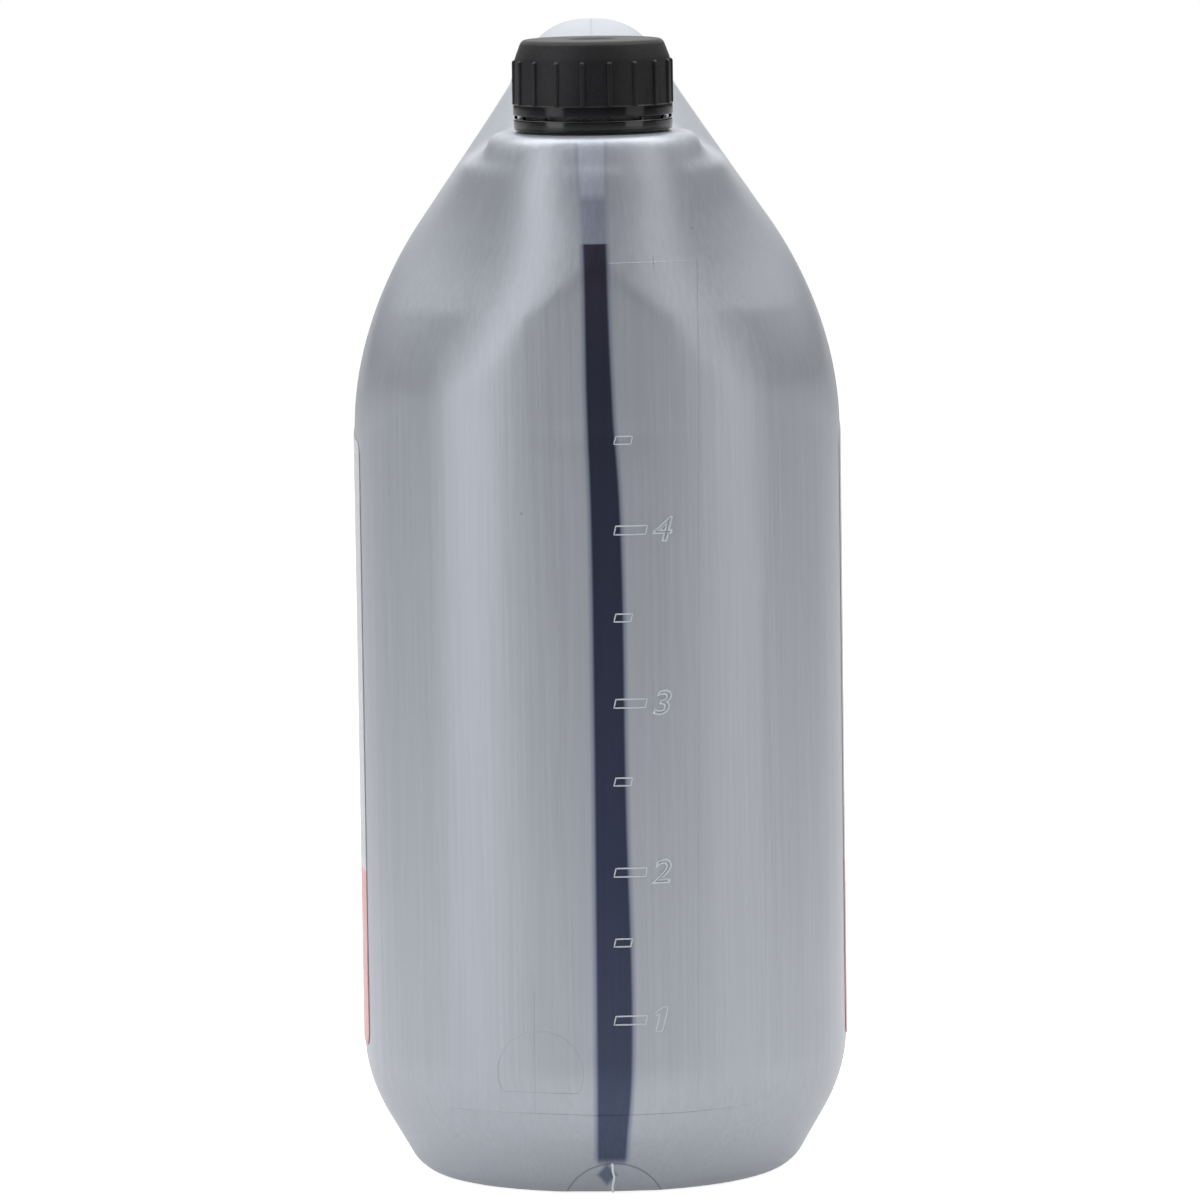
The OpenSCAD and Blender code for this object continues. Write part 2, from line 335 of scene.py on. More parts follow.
def rounded(profile, radii, steps=5):
    """The (radius, height) points of a profile, each corner rounded by its radius."""
    out = []
    for i, (point, radius) in enumerate(zip(profile, radii)):
        if radius == 0:
            out.append(tuple(point))
            continue
        p, a, b = (np.array(profile[k % len(profile)], float) for k in (i, i - 1, i + 1))
        start, end = (p + (q - p) / np.linalg.norm(q - p) * radius for q in (a, b))
        for t in np.linspace(0, 1, steps):
            out.append(tuple((1 - t) ** 2 * start + 2 * t * (1 - t) * p + t * t * end))
    return out


def join(name, objects):
    deselect()
    for obj in objects:
        obj.select_set(True)
    bpy.context.view_layer.objects.active = objects[0]
    bpy.ops.object.join()
    objects[0].name = objects[0].data.name = name
    return objects[0]


def smooth(obj, degrees=None):
    pick(obj)
    if degrees is None:
        bpy.ops.object.shade_smooth()
    else:
        bpy.ops.object.shade_smooth_by_angle(angle=math.radians(degrees))


def finish_piece(obj, body, material, nodes=()):
    """Puts the material on a piece and says what it rides on and stands for."""
    obj.data.materials.clear()
    obj.data.materials.append(material)
    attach(obj, body)
    if nodes:
        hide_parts(*nodes)


def unit_box():
    """A new cube and its corners, which lie at plus and minus a half on each axis."""
    deselect()
    bpy.ops.mesh.primitive_cube_add(size=1)
    obj = bpy.context.active_object
    return obj, points_of(obj) * MM


def about_neck(points, angle):
    """Points given from the neck's axis, turned about it."""
    x, y, z = points.T
    c, s = math.cos(angle), math.sin(angle)
    return np.stack([x * c - y * s, NECK_Y + x * s + y * c, z], axis=1)


def tube(name, lines, radius, closed=False):
    """Fine round beads along lines of points in millimetres, as one mesh."""
    curve = bpy.data.curves.new(name, "CURVE")
    curve.dimensions = "3D"
    curve.bevel_depth = radius * MM
    curve.bevel_resolution = 1
    curve.use_fill_caps = True
    for line in lines:
        spline = curve.splines.new("POLY")
        spline.points.add(len(line) - 1)
        for point, place in zip(spline.points, line):
            point.co = (*[float(v) * MM for v in place], 1)
        spline.use_cyclic_u = closed
    obj = bpy.data.objects.new(name, curve)
    bpy.context.collection.objects.link(obj)
    pick(obj)
    bpy.ops.object.convert(target="MESH")
    obj = bpy.context.active_object
    in_edit(obj, lambda: bpy.ops.mesh.normals_make_consistent(inside=False))
    return obj


# node helpers

class Nodes:
    """Adds nodes to a tree and links them by short calls; a value may be a socket or a constant."""

    def __init__(self, tree):
        self.tree = tree

    def add(self, kind, inputs=None, **settings):
        node = self.tree.nodes.new(kind)
        for key, value in settings.items():
            setattr(node, key, value)
        for key, value in (inputs or {}).items():
            self.put(node.inputs[key], value)
        return node

    def put(self, socket, value):
        if isinstance(value, bpy.types.NodeSocket):
            self.tree.links.new(value, socket)
        else:
            socket.default_value = value

    def math(self, operation, a, b=0.0):
        return self.add("ShaderNodeMath", {0: a, 1: b}, operation=operation).outputs[0]

    def plus(self, a, b):
        return self.math("ADD", a, b)

    def minus(self, a, b):
        return self.math("SUBTRACT", a, b)

    def times(self, a, b):
        return self.math("MULTIPLY", a, b)

    def ramp(self, value, low, high, to_low=0.0, to_high=1.0):
        """A smooth step as value goes from low to high."""
        ends = {"Value": value, "From Min": low, "From Max": high, "To Min": to_low,
                "To Max": to_high}
        return self.add("ShaderNodeMapRange", ends, interpolation_type="SMOOTHSTEP").outputs[0]

    def mix(self, factor, a, b, blend="MIX"):
        node = self.add("ShaderNodeMix", data_type="RGBA", blend_type=blend)
        self.put(node.inputs[0], factor)
        self.put(node.inputs[6], a)
        self.put(node.inputs[7], b)
        return node.outputs[2]

    def stops(self, value, places):
        """A colour ramp over (place, colour) stops."""
        node = self.add("ShaderNodeValToRGB", {0: value})
        ramp = node.color_ramp
        while len(ramp.elements) < len(places):
            ramp.elements.new(0.5)
        for element, (place, colour) in zip(ramp.elements, places):
            element.position = place
            element.color = colour
        return node.outputs[0]

    def curve(self, value, places):
        """A float curve through (place, value) points, both from 0 to 1."""
        node = self.add("ShaderNodeFloatCurve", {"Value": value})
        points = node.mapping.curves[0].points
        while len(points) < len(places):
            points.new(0.5, 0.5)
        for point, place in zip(points, places):
            point.location = place
            point.handle_type = "AUTO"
        node.mapping.update()
        return node.outputs[0]


def rgb(r, g, b):
    """A screen colour of 0 to 255 as the linear colour that renders like it."""
    shares = [v / 255 for v in (r, g, b)]
    linear = [((v + 0.055) / 1.055) ** 2.4 if v > 0.04045 else v / 12.92 for v in shares]
    return (*linear, 1.0)


def new_material(name):
    material = bpy.data.materials.new(name)
    material.use_nodes = True
    material.node_tree.nodes.clear()
    n = Nodes(material.node_tree)
    shader = n.add("ShaderNodeBsdfPrincipled")
    n.add("ShaderNodeOutputMaterial", {"Surface": shader.outputs[0]})
    place = n.add("ShaderNodeTexCoord").outputs["Object"]
    return material, n, shader, place


def dress(n, shader, colour, rough, height=None, strength=0.0, distance=0.0):
    """Gives the shader its colour, its roughness and a bump whose distance is in metres."""
    n.put(shader.inputs["Base Color"], colour)
    n.put(shader.inputs["Roughness"], rough)
    if height is not None:
        bump = n.add("ShaderNodeBump", {"Height": height, "Strength": strength,
                                        "Distance": distance})
        n.put(shader.inputs["Normal"], bump.outputs[0])


def group(name, ins, outs):
    """A new shader node group with float, colour or vector sockets."""
    tree = bpy.data.node_groups.new(name, "ShaderNodeTree")
    for title, kind, value in ins:
        socket = tree.interface.new_socket(title, in_out="INPUT", socket_type=kind)
        if value is not None:
            socket.default_value = value
    for title, kind in outs:
        tree.interface.new_socket(title, in_out="OUTPUT", socket_type=kind)
    n = Nodes(tree)
    return tree, n, n.add("NodeGroupInput").outputs, n.add("NodeGroupOutput")


def grain_group():
    """Fine moulded grain: a height and a mask from two sizes of noise."""
    tree, n, ins, out = group(
        "moulded_grain", [("Place", "NodeSocketVector", None), ("Size", "NodeSocketFloat", 0.4)],
        [("Height", "NodeSocketFloat"), ("Mask", "NodeSocketFloat")])
    scale = n.math("DIVIDE", 1 / MM, ins["Size"])
    fine = n.add("ShaderNodeTexNoise", {"Vector": ins["Place"], "Scale": scale, "Detail": 2.0,
                                        "Roughness": 0.6})
    broad_scale = n.times(scale, 0.23)
    broad = n.add("ShaderNodeTexNoise", {"Vector": ins["Place"], "Scale": broad_scale,
                                         "Detail": 1.0})
    height = n.plus(fine.outputs[0], n.times(broad.outputs[0], 0.5))
    n.put(out.inputs["Height"], height)
    n.put(out.inputs["Mask"], broad.outputs[0])
    return tree


def streak_group():
    """Upright drawn streaks of a blown parison: a fine and a broad mask, long in Z."""
    tree, n, ins, out = group(
        "parison_streaks", [("Place", "NodeSocketVector", None), ("Width", "NodeSocketFloat", 1.0)],
        [("Fine", "NodeSocketFloat"), ("Broad", "NodeSocketFloat")])
    squeezed = n.add("ShaderNodeMapping", {"Vector": ins["Place"], "Scale": (1.0, 1.0, 0.018)})
    scale = n.math("DIVIDE", 1 / MM, ins["Width"])
    drawn = squeezed.outputs[0]
    fine = n.add("ShaderNodeTexNoise", {"Vector": drawn, "Scale": scale, "Detail": 3.0,
                                        "Roughness": 0.7})
    broad = n.add("ShaderNodeTexNoise", {"Vector": drawn, "Scale": n.times(scale, 0.12),
                                         "Detail": 2.0})
    n.put(out.inputs["Fine"], fine.outputs[0])
    n.put(out.inputs["Broad"], broad.outputs[0])
    return tree


def dust_group():
    """Sparse specks and faint handling marks as one mask."""
    tree, n, ins, out = group("handling_marks", [("Place", "NodeSocketVector", None)],
                              [("Specks", "NodeSocketFloat"), ("Smudge", "NodeSocketFloat")])
    cells = n.add("ShaderNodeTexVoronoi", {"Vector": ins["Place"], "Scale": 42.0})
    specks = n.ramp(cells.outputs["Distance"], 0.012, 0.028, 1.0, 0.0)
    cloud = n.add("ShaderNodeTexNoise", {"Vector": ins["Place"], "Scale": 21.0, "Detail": 4.0})
    n.put(out.inputs["Specks"], specks)
    n.put(out.inputs["Smudge"], n.ramp(cloud.outputs[0], 0.45, 0.75))
    return tree


def use_group(n, name, maker, inputs):
    tree = bpy.data.node_groups.get(name) or maker()
    node = n.add("ShaderNodeGroup")
    node.node_tree = tree
    for key, value in inputs.items():
        n.put(node.inputs[key], value)
    return node.outputs


# materials

# the view stripe's ends and its edges as (height, x), in millimetres
STRIPE_TOP_Z = 275.0
STRIPE_BASE_Z = 8.5
STRIPE_LEFT = [(0, -3.0), (80, -2.5), (132, -2.3), (179, -2.4), (210, -3.1), (250, -3.4),
               (272, -4.3), (300, -4.4)]
STRIPE_RIGHT = [(0, 4.2), (14, 5.0), (40, 6.8), (106, 6.1), (179, 5.6), (209, 4.0),
                (250, 3.0), (300, 3.0)]


def notch_painted_shade(n, xyz, facing, colour):
    """Painted shade at the foot of the front: a dark arc along the notch's rim and a bluish dark
    patch inside the notch.
    """
    across, up = n.minus(xyz["X"], 1.4 * MM), n.plus(xyz["Z"], 3.4 * MM)
    radius = n.math("SQRT", n.plus(n.times(across, across), n.times(up, up)))
    from_arc = n.math("ABSOLUTE", n.minus(radius, 12.9 * MM))
    # painted shade: a dark line along the rim of the notch
    rim_shade = n.times(n.ramp(from_arc, 0.08 * MM, 0.34 * MM, 0.7, 0.0), facing)
    colour = n.mix(rim_shade, colour, rgb(96, 106, 122))
    aside = n.math("ABSOLUTE", n.plus(xyz["X"], 0.4 * MM))
    above = n.math("ABSOLUTE", n.times(n.minus(xyz["Z"], 6.2 * MM), 0.75))
    # painted shade: a bluish dark patch inside the notch
    notch_shade = n.times(n.ramp(n.plus(aside, above), 1.6 * MM, 3.4 * MM, 0.85, 0.0), facing)
    return n.mix(notch_shade, colour, rgb(78, 94, 118))


def view_stripe(n, xyz, facing, streaks, colour, rough):
    """The clear stripe on the narrow front, with the fluid and its level behind it."""
    top, span = 300.0, 20.0
    height = n.math("DIVIDE", xyz["Z"], top * MM)
    edges = []
    for places in (STRIPE_LEFT, STRIPE_RIGHT):
        points = [(z / top, x / span + 0.5) for z, x in places]
        edges.append(n.times(n.minus(n.curve(height, points), 0.5), span * MM))
    wavered = n.plus(xyz["X"], n.times(n.minus(streaks["Broad"], 0.5), 0.3 * MM))
    inside = n.math("MINIMUM", n.minus(wavered, edges[0]), n.minus(edges[1], wavered))
    below_top = n.ramp(xyz["Z"], STRIPE_TOP_Z * MM, (STRIPE_TOP_Z + 0.7) * MM, 1.0, 0.0)
    above_base = n.ramp(xyz["Z"], STRIPE_BASE_Z * MM, (STRIPE_BASE_Z + 3.0) * MM)
    front = n.times(n.times(facing, below_top), above_base)
    halo = n.times(n.ramp(inside, -1.3 * MM, 0.2 * MM), front)
    core = n.times(n.ramp(inside, -0.2 * MM, 0.7 * MM), front)
    wet = n.stops(height, [(0.0, rgb(72, 82, 106)), (0.13, rgb(60, 68, 92)),
                           (0.30, rgb(46, 54, 80)), (0.5, rgb(40, 46, 70)),
                           (0.72, rgb(40, 42, 64)), (0.83, rgb(50, 47, 64))])
    dry = n.stops(height, [(0.83, rgb(146, 153, 170)), (0.868, rgb(146, 153, 170)),
                           (0.875, rgb(178, 184, 200)), (0.92, rgb(184, 190, 204))])
    level = n.ramp(xyz["Z"], (FILL_Z - 0.7) * MM, (FILL_Z - 0.2) * MM)
    window = n.mix(level, wet, dry)
    window = n.mix(n.ramp(streaks["Fine"], 0.3, 0.7, 0.0, 0.12), window, (0, 0, 0, 1))
    edge_colour = n.mix(level, rgb(112, 122, 146), rgb(150, 158, 172))
    colour = n.mix(n.times(halo, 0.75), colour, edge_colour)
    return n.mix(core, colour, window), n.plus(rough, n.times(core, 0.04))


def jug_material(name, stripe=True, lighter=1.0):
    """Silver-grey satin polyethylene with drawn streaks and, on the body, the clear stripe and
    painted shade in the base notch.
    """
    settings = bpy.context.scene.jug_looks
    material, n, shader, place = new_material(name)
    streaks = use_group(n, "parison_streaks", streak_group, {"Place": place, "Width": 1.1})
    grain = use_group(n, "moulded_grain", grain_group, {"Place": place, "Size": 0.9})
    marks = use_group(n, "handling_marks", dust_group, {"Place": place})
    xyz = n.add("ShaderNodeSeparateXYZ", {0: place}).outputs
    # lighter scales the colour up; on the litre scale and the mould lines this lightening is a
    # painted highlight
    base = (*[min(v * lighter, 1.0) for v in settings.jug_colour], 1.0)
    light = n.mix(1.0, base, (1.045, 1.045, 1.04, 1.0), "MULTIPLY")
    dark = n.mix(1.0, base, (0.945, 0.945, 0.95, 1.0), "MULTIPLY")
    colour = n.mix(n.ramp(streaks["Fine"], 0.32, 0.68), dark, light)
    broad = n.ramp(streaks["Broad"], 0.35, 0.65, 0.0, 0.5)
    colour = n.mix(broad, colour, n.mix(0.5, dark, base))
    colour = n.mix(n.times(marks["Specks"], 0.35), colour, rgb(110, 112, 116))
    rough = n.plus(0.36, n.times(streaks["Fine"], 0.10))
    rough = n.minus(rough, n.times(marks["Smudge"], 0.03))
    if stripe:
        facing = n.ramp(xyz["Y"], -70 * MM, -60 * MM, 1.0, 0.0)
        # painted shade in the notch at the foot of the front
        colour = notch_painted_shade(n, xyz, facing, colour)
        colour, rough = view_stripe(n, xyz, facing, streaks, colour, rough)
    shader.inputs["IOR"].default_value = 1.5
    shader.inputs["Metallic"].default_value = 0.5
    bumps = n.plus(n.times(streaks["Fine"], 0.55), n.times(grain["Height"], 0.25))
    dress(n, shader, colour, rough, bumps, 0.35, 0.12 * MM)
    return material


def cap_material():
    """Black polypropylene: fine grain on the top and sides, smooth and glossy on the skirt."""
    material, n, shader, place = new_material("cap_black")
    grain = use_group(n, "moulded_grain", grain_group, {"Place": place, "Size": 0.35})
    marks = use_group(n, "handling_marks", dust_group, {"Place": place})
    xyz = n.add("ShaderNodeSeparateXYZ", {0: place}).outputs
    grained = n.ramp(xyz["Z"], (CAP_Z0 + 2.7) * MM, (CAP_Z0 + 3.0) * MM)
    colour = n.mix(n.ramp(grain["Height"], 0.5, 1.0), rgb(15, 14, 17), rgb(26, 25, 28))
    colour = n.mix(grained, rgb(12, 11, 14), colour)
    colour = n.mix(n.times(marks["Smudge"], 0.12), colour, rgb(92, 90, 94))
    shader.inputs["Specular IOR Level"].default_value = 0.25
    rough = n.plus(n.plus(0.12, n.times(grained, 0.36)), n.times(marks["Smudge"], 0.05))
    dress(n, shader, colour, rough, n.times(grain["Height"], grained), 0.6, 0.1 * MM)
    return material


def ring_material():
    """Smooth glossy black polypropylene."""
    material, n, shader, place = new_material("ring_black")
    marks = use_group(n, "handling_marks", dust_group, {"Place": place})
    grain = use_group(n, "moulded_grain", grain_group, {"Place": place, "Size": 2.5})
    colour = n.mix(n.times(marks["Smudge"], 0.3), rgb(10, 10, 12), rgb(20, 19, 22))
    rough = n.plus(0.10, n.times(marks["Smudge"], 0.08))
    dress(n, shader, colour, rough, grain["Height"], 0.12, 0.2 * MM)
    return material


def label_material():
    """Thin satin film in plain fields: pale grey above, pale red below."""
    material, n, shader, place = new_material("label_print")
    grain = use_group(n, "moulded_grain", grain_group, {"Place": place, "Size": 0.5})
    xyz = n.add("ShaderNodeSeparateXYZ", {0: place}).outputs
    height = n.math("DIVIDE", xyz["Z"], 0.2)
    colour = n.stops(height, [(0.0, rgb(214, 150, 148)), (0.405, rgb(222, 160, 158)),
                              (0.41, rgb(216, 216, 220)), (0.43, rgb(204, 206, 212)),
                              (0.97, rgb(208, 210, 216))])
    colour = n.mix(n.ramp(grain["Mask"], 0.3, 0.7, 0.0, 0.10), colour, rgb(150, 150, 156))
    rough = n.ramp(grain["Height"], 0.3, 1.1, 0.30, 0.42)
    dress(n, shader, colour, rough, grain["Height"], 0.15, 0.05 * MM)
    return material


def foam_material():
    """White foamed wad with fine closed cells."""
    material, n, shader, place = new_material("liner_white")
    cells = n.add("ShaderNodeTexVoronoi", {"Vector": place, "Scale": 2600.0}).outputs["Distance"]
    colour = n.mix(n.ramp(cells, 0.1, 0.6), rgb(222, 221, 216), rgb(240, 239, 235))
    dress(n, shader, colour, n.ramp(cells, 0.0, 0.7, 0.75, 0.6), cells, 0.5, 0.1 * MM)
    return material


def fluid_material():
    """Dark blue-black oil, glossy, with a faint slow cloud in its colour."""
    material, n, shader, place = new_material("fluid_dark")
    cloud = n.add("ShaderNodeTexNoise", {"Vector": place, "Scale": 14.0, "Detail": 3.0}).outputs[0]
    colour = n.mix(n.ramp(cloud, 0.35, 0.7), rgb(26, 29, 46), rgb(40, 45, 68))
    dress(n, shader, colour, n.ramp(cloud, 0.3, 0.7, 0.06, 0.12))
    return material


# pieces

def around(count):
    """One row of even angles, half a step off zero."""
    return ((np.arange(count) + 0.5) * 2 * math.pi / count)[None, :]


def jug_blank():
    """The closed skin of the body as rings from the base to the ridge, before remeshing."""
    z = np.concatenate([[0, 1, 2.5, 5, 8], np.arange(12, SHELF_Z - 3, 6.0),
                        [SHELF_Z - 2, SHELF_Z - 0.2, SHELF_Z + 0.4],
                        np.arange(SHELF_Z + 3, HANDLE_Z - 3, 3.0),
                        HANDLE_Z - np.array([3, 1.8, 0.9, 0.3])])[:, None]
    a = around(128)
    r = reach(a, z + 0 * a)
    rows = np.stack([r * np.sin(a), MIDDLE_Y - r * np.cos(a), z + 0 * a], axis=-1)
    return wrap_grid("jug_body", rows)


def grip_cutter():
    """The flared finger opening as a solid that is cut from the blank."""
    x = np.linspace(-74, 74, 31)[:, None]
    a = around(64)
    half_l, up, down = grip_half(np.abs(x))
    c, s = np.cos(a), np.sin(a)
    y = GRIP_Y + half_l * np.sign(c) * np.abs(c) ** GRIP_CORNER
    z = GRIP_Z + np.where(s > 0, up, down) * np.sign(s) * np.abs(s) ** GRIP_CORNER
    return wrap_grid("grip_cutter", np.stack([x + 0 * a, y, z], axis=-1))


def thread_bead(radius, start_z, out):
    """A screw thread as a swept rounded rib, outward or (out -1) inward, faded at its ends."""
    steps = 48
    count = int(steps * THREAD_TURNS)
    rows = []
    for k in range(count + 1):
        a = k * 2 * math.pi / steps
        z = start_z + k * THREAD_PITCH / steps
        grow = min(1.0, min(k, count - k) / 6 + 0.05)
        tip = radius + out * 1.15 * grow
        foot = radius - out * 0.5
        section = rounded([(foot, z - 1.0), (tip, z - 0.5), (tip, z + 0.5), (foot, z + 1.0)],
                          [0, 0.3, 0.3, 0], 3)
        rows.append([(r * math.cos(a), NECK_Y + r * math.sin(a), h) for r, h in section])
    return wrap_grid("thread", rows)


def surface_line(points, step=1.5):
    """Points at even steps along (x, z) corners, laid on the narrow front."""
    out = []
    for (x0, z0), (x1, z1) in zip(points, points[1:]):
        count = max(int(math.hypot(x1 - x0, z1 - z0) / step), 1)
        for i in range(count):
            t = i / count
            out.append((x0 + (x1 - x0) * t, z0 + (z1 - z0) * t))
    out.append(points[-1])
    x, z = np.array(out).T
    return np.stack([x, front_skin(x, z), z], axis=1)


# add-on

class JugLooks(bpy.types.PropertyGroup):
    jug_colour: FloatVectorProperty(
        name="Jug colour", description="Colour of the blown plastic", subtype="COLOR", size=3,
        min=0, max=1, default=rgb(173, 177, 185)[:3])
    voxel: FloatProperty(
        name="Skin fineness", description="Edge length of the skin's faces", unit="LENGTH",
        min=0.0012, max=0.004, default=0.0019)
    line_height: FloatProperty(
        name="Line height", description="Radius of the fine raised mould lines", unit="LENGTH",
        min=0.00005, max=0.0005, default=0.00011)


class CapSizes(bpy.types.PropertyGroup):
    ribs: IntProperty(name="Ribs", description="Number of grip ribs", default=18, min=8, max=36)
    rib_phase: FloatProperty(
        name="Rib phase", description="Turn of the ribs about the neck", subtype="ANGLE",
        default=math.radians(2.3))
    bridges: IntProperty(
        name="Bridges", description="Number of ring bridges", default=14, min=6, max=24)


class LightLevels(bpy.types.PropertyGroup):
    key: FloatProperty(name="Key", description="Left lamp", unit="POWER", default=4.9, min=0)
    fill: FloatProperty(name="Fill", description="Right lamp", unit="POWER", default=3.2, min=0)
    top: FloatProperty(name="Top", description="Lamp above", unit="POWER", default=22.0, min=0)
    back: FloatProperty(name="Back", description="Lamp behind", unit="POWER", default=2.5, min=0)
    world: FloatProperty(
        name="Surround", description="Level of the plain surround", default=0.22, min=0)


class JUG_OT_body(bpy.types.Operator):
    """Build the blown body: skin, finger opening, mouth and base"""
    bl_idname = "jug.body"
    bl_label = "Jug body"

    def execute(self, context):
        looks = context.scene.jug_looks
        body = jug_blank()
        cutter = grip_cutter()
        cut = body.modifiers.new("finger_opening", "BOOLEAN")
        cut.operation = "DIFFERENCE"
        cut.object = cutter
        remesh = body.modifiers.new("even_skin", "REMESH")
        remesh.mode = "VOXEL"
        remesh.voxel_size = looks.voxel
        apply_modifiers(body)
        bpy.data.objects.remove(cutter)
        set_points(body, project(points_of(body), jug_field, 6))
        smooth(body)
        finish_piece(body, "jug", jug_material("jug_silver"), ["bottle"])
        return {"FINISHED"}


class JUG_OT_neck(bpy.types.Operator):
    """Build the neck tube with its locking bead and screw thread"""
    bl_idname = "jug.neck"
    bl_label = "Neck"

    def execute(self, context):
        bead_r = NECK_R + 1.3
        corners = [(BORE_R, SHELF_Z - 9), (NECK_R + 1.6, SHELF_Z - 3), (NECK_R + 1.2, SHELF_Z),
                   (NECK_R, SHELF_Z + 0.9), (NECK_R, SHELF_Z + 1.9), (bead_r, SHELF_Z + 2.7),
                   (bead_r, SHELF_Z + 3.3), (NECK_R, SHELF_Z + 4.1), (NECK_R, NECK_TOP_Z),
                   (BORE_R, NECK_TOP_Z)]
        profile = rounded(corners, [0, 0, 0.5, 0.4, 0.3, 0.35, 0.35, 0.3, 0.5, 0.5])
        tube_part = revolve("jug_neck", profile, 128)
        neck = join("jug_neck", [tube_part, thread_bead(NECK_R, SHELF_Z + 8.6, 1)])
        smooth(neck, 35)
        material = jug_material("neck_silver", stripe=False)
        finish_piece(neck, "jug", material, ["bottle"])
        return {"FINISHED"}


class JUG_OT_cap(bpy.types.Operator):
    """Build the screw cap: skirt, ribs, conical top with its dish, and the inside thread"""
    bl_idname = "jug.cap"
    bl_label = "Screw cap"

    def execute(self, context):
        sizes = context.scene.cap_sizes
        cone_z = CAP_TOP_Z - 5.8
        dish_z, under_z = CAP_TOP_Z - 0.6, CAP_TOP_Z - 1.8
        corners = [(CAP_R - 0.1, CAP_Z0), (CAP_R, CAP_Z0 + 2.8), (CAP_WALL_R, CAP_Z0 + 3.05),
                   (CAP_WALL_R - 0.15, cone_z + 0.6), (CAP_WALL_R - 1.9, CAP_TOP_Z - 0.5),
                   (CAP_WALL_R - 3.1, CAP_TOP_Z), (7.0, CAP_TOP_Z), (5.6, CAP_TOP_Z - 0.55),
                   (1.1, dish_z), (0.8, CAP_TOP_Z - 0.25), (0.02, CAP_TOP_Z - 0.2),
                   (0.02, under_z), (NECK_R + 0.4, under_z), (NECK_R + 0.4, cone_z - 0.4),
                   (CAP_INNER_R, cone_z - 0.4), (CAP_INNER_R, CAP_Z0)]
        radii = [0.35, 0.3, 0.2, 1.0, 0.9, 0.8, 0.8, 0.6, 0.15, 0.15, 0, 0, 0, 0.2, 0, 0.3]
        shell = revolve("cap_shell", rounded(corners, radii), 216)
        rib, box = unit_box()
        rib_z, rib_w, root_w = CAP_Z0 + 2.6, 1.15, 1.7
        box[:, 2] = (box[:, 2] + 0.5) * (cone_z + 0.9 - rib_z) + rib_z
        box[:, 1] *= np.where(box[:, 0] > 0, rib_w, root_w)
        box[:, 0] = np.where(box[:, 0] > 0, CAP_R, CAP_WALL_R - 0.6)
        box[(box[:, 0] > CAP_R - 0.1) & (box[:, 2] > cone_z), 2] -= 0.7
        set_points(rib, box)
        soft = rib.modifiers.new("soft_edges", "BEVEL")
        soft.width = 0.36 * MM
        soft.segments = 4
        soft.limit_method = "NONE"
        apply_modifiers(rib)
        one = points_of(rib)
        parts = [shell]
        for k in range(sizes.ribs):
            copy = rib.copy()
            copy.data = rib.data.copy()
            bpy.context.collection.objects.link(copy)
            set_points(copy, about_neck(one, sizes.rib_phase + k * 2 * math.pi / sizes.ribs))
            parts.append(copy)
        bpy.data.objects.remove(rib)
        parts.append(thread_bead(CAP_INNER_R, SHELF_Z + 6.5, -1))
        cap = join("cap_shell", parts)
        smooth(cap, 40)
        finish_piece(cap, "cap", cap_material(), ["screw_cap"])
        return {"FINISHED"}


class JUG_OT_ring(bpy.types.Operator):
    """Build the tamper ring with its hook and the short bridges under the cap"""
    bl_idname = "jug.ring"
    bl_label = "Tamper ring"

    def execute(self, context):
        sizes = context.scene.cap_sizes
        z0, z1 = SHELF_Z + 0.5, CAP_Z0 - 0.8
        corners = [(NECK_R + 0.7, z0 + 0.3), (NECK_R + 1.1, z0), (CAP_R - 0.45, z0),
                   (CAP_R - 0.15, z1), (NECK_R + 1.6, z1), (NECK_R + 1.6, z0 + 1.6),
                   (NECK_R + 0.7, z0 + 1.1)]
        profile = rounded(corners, [0.1, 0.15, 0.55, 0.6, 0.2, 0.2, 0.15])
        parts = [revolve("ring_shell", profile, 216)]
        for k in range(sizes.bridges):
            bridge, box = unit_box()
            box[:, 1] *= np.where(box[:, 2] > 0, 0.7, 1.3)
            box[:, 0] = box[:, 0] * 0.8 + NECK_R + 2.4
            box[:, 2] = np.where(box[:, 2] > 0, CAP_Z0 - 0.18, z1 - 0.4)
            set_points(bridge, about_neck(box, k * 2 * math.pi / sizes.bridges))
            parts.append(bridge)
        ring = join("ring_shell", parts)
        smooth(ring, 40)
        finish_piece(ring, "jug", ring_material(), ["tamper_ring"])
        return {"FINISHED"}


def label_sheet(name, way, y0):
    """A thin sheet with rounded corners that starts at y0, wrapped on a wide face."""
    y1, z0, z1 = LABEL_REAR_Y, LABEL_Z0, LABEL_Z1
    corner = 4.0
    ends = corner * (1 - np.cos(np.linspace(0, math.pi / 2, 9)))
    between = np.linspace(z0 + corner, z1 - corner, 50)[1:-1]
    z = np.concatenate([z0 + ends, between, (z1 - ends)[::-1]])
    edge = np.clip(np.minimum(z - z0, z1 - z) / corner, 0, 1)
    pull = corner * (1 - np.sqrt(1 - (1 - edge) ** 2))
    t = np.linspace(0, 1, 73)[None, :]
    y = (y0 + pull)[:, None] * (1 - t) + (y1 - pull)[:, None] * t
    zz = z[:, None] + 0 * y
    layers = []
    for offset in (0.08, 0.26):
        x, _ = find_skin(np.full(y.shape, 30.0), np.full(y.shape, 75.0),
                         lambda x: outer_field(x, y, zz) > offset, 24)
        layers.append(np.stack([way * x, y, zz], axis=-1))
    sheet = wrap_grid(name, layers[1], closed=False)
    back = wrap_grid(name + "_back", layers[0], closed=False)
    rim = [np.concatenate([g[0], g[1:, -1], g[-1, :-1][::-1], g[1:-1, 0][::-1]])
           for g in layers]
    band = wrap_grid(name + "_rim", rim)
    label = join(name, [sheet, back, band])
    in_edit(label, lambda: bpy.ops.mesh.remove_doubles(threshold=0.000005),
            lambda: bpy.ops.mesh.select_all(action="SELECT"),
            lambda: bpy.ops.mesh.normals_make_consistent(inside=False))
    smooth(label, 40)
    return label


